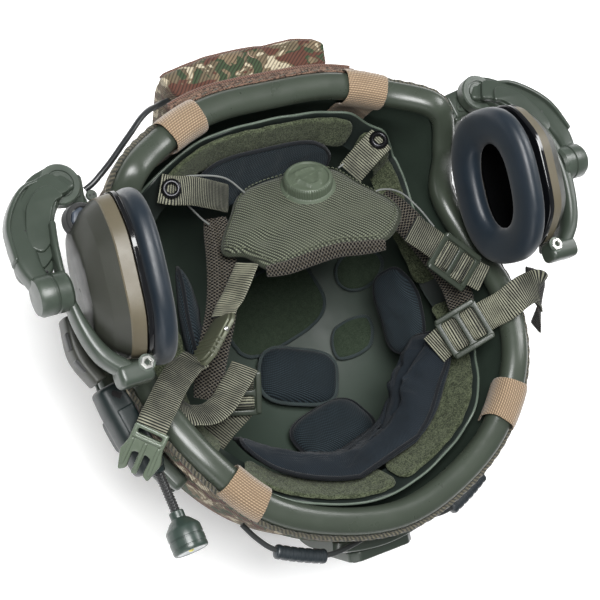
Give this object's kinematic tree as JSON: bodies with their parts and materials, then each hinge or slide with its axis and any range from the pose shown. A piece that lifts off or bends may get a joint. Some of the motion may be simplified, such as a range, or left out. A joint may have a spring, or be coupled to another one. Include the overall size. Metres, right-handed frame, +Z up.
{
  "type": "tactical helmet",
  "caption": "High-cut tactical helmet lying on its crown, with cloth cover, liner pads, chin straps, hinged headset cups and a small rail light.",
  "frame": {"origin": "the pressed crown's contact with the floor, the helmet lying upside down", "axes": "+Z up out of the open hollow, -Y towards the forehead, +X to the wearer's right"},
  "size_m": [0.3416, 0.2909, 0.2028],
  "materials": {
    "shell_paint": "satin paint",
    "rim_paint": "satin",
    "cover_cloth": "camouflage printed twill",
    "tab_elastic": "woven elastic",
    "felt": "loop felt",
    "pad_cloth": "knitted mesh over foam",
    "webbing": "ribbed webbing",
    "panel_cloth": "woven nylon",
    "mesh_cloth": "spacer mesh",
    "liner_plastic": "satin",
    "hardware_plastic": "moulded nylon",
    "dark_plastic": "moulded nylon",
    "cup_plastic": "fine moulded texture",
    "bezel_gloss": "gloss",
    "cushion_skin": "soft satin skin",
    "lead_rubber": "satin",
    "neck_steel": "dark sleeve",
    "grommet_steel": "blackened",
    "grip_plastic": "satin"
  },
  "bodies": {
    "root": {"shell": "shell_paint", "cover": "cover_cloth", "rim_trim": "rim_paint", "cover_tab_rear_right": "tab_elastic", "cover_tab_rear_left": "tab_elastic", "cover_tab_front_right": "tab_elastic", "cover_tab_front_left": "tab_elastic", "rear_pouch": "cover_cloth", "headset_lead": "lead_rubber", "liner_frame": "liner_plastic", "felt_band_rear": "felt", "felt_band_right": "felt", "felt_band_left": "felt", "felt_band_front": "felt", "rear_pad": "pad_cloth", "temple_pad_left": "pad_cloth", "temple_pad_right": "pad_cloth", "front_pad": "pad_cloth", "crown_pad_rear": "pad_cloth", "crown_pad_front": "pad_cloth", "felt_patch_crown": "felt", "felt_patch_round": "felt", "felt_patch_side": "felt", "nape_panel": "panel_cloth", "strap_rear_left": "webbing", "strap_rear_right": "webbing", "strap_side_left": "webbing", "strap_side_right": "webbing", "chin_strap_left": "webbing", "chin_strap_left_root": "webbing", "chin_strap_right": "webbing", "mesh_arm_left": "mesh_cloth", "mesh_arm_right": "mesh_cloth", "strap_clip_side_right": "hardware_plastic", "strap_clip_chin_right": "hardware_plastic", "strap_clip_chin_left": "hardware_plastic", "ladder_buckle": "hardware_plastic", "side_release_buckle": "hardware_plastic", "grommet_left": "grommet_steel", "grommet_right": "grommet_steel", "side_rail_right": "hardware_plastic", "side_rail_left": "hardware_plastic", "front_shroud": "hardware_plastic", "bungee_grip_right": "grip_plastic", "bungee_grip_left": "grip_plastic", "light_body": "dark_plastic", "light_neck": "neck_steel", "light_head": "dark_plastic", "arm_bracket_right": "hardware_plastic", "arm_bracket_left": "hardware_plastic"},
    "arm_right": {"headset_arm_right": "hardware_plastic"},
    "arm_left": {"headset_arm_left": "hardware_plastic"},
    "cup_right": {"cup_shell_right": "cup_plastic", "cup_bezel_right": "bezel_gloss", "ear_cushion_right": "cushion_skin"},
    "cup_left": {"cup_shell_left": "cup_plastic", "cup_bezel_left": "bezel_gloss", "ear_cushion_left": "cushion_skin"},
    "dial": {"fit_dial": "hardware_plastic"}
  },
  "joints": [
    {"name": "swing_right", "type": "hinge", "parent": "root", "child": "arm_right", "pos_m": [0.132, 0.0865, 0.1476], "axis": [0, 0, 1], "range_deg": [0, 45]},
    {"name": "swing_left", "type": "hinge", "parent": "root", "child": "arm_left", "pos_m": [-0.132, 0.0865, 0.1476], "axis": [0, 0, -1], "range_deg": [0, 45]},
    {"name": "tilt_right", "type": "hinge", "parent": "arm_right", "child": "cup_right", "pos_m": [0.13, 0.03, 0.165], "axis": [0, -0.997, 0.0774], "range_deg": [-4, 8]},
    {"name": "tilt_left", "type": "hinge", "parent": "arm_left", "child": "cup_left", "pos_m": [-0.13, 0.03, 0.165], "axis": [0, 0.997, -0.0774], "range_deg": [-4, 8]},
    {"name": "dial_turn", "type": "hinge", "parent": "root", "child": "dial", "pos_m": [0.02057, 0.0626, 0.11809], "axis": [-0.1555, 0.5695, 0.8072], "continuous": true}
  ]
}
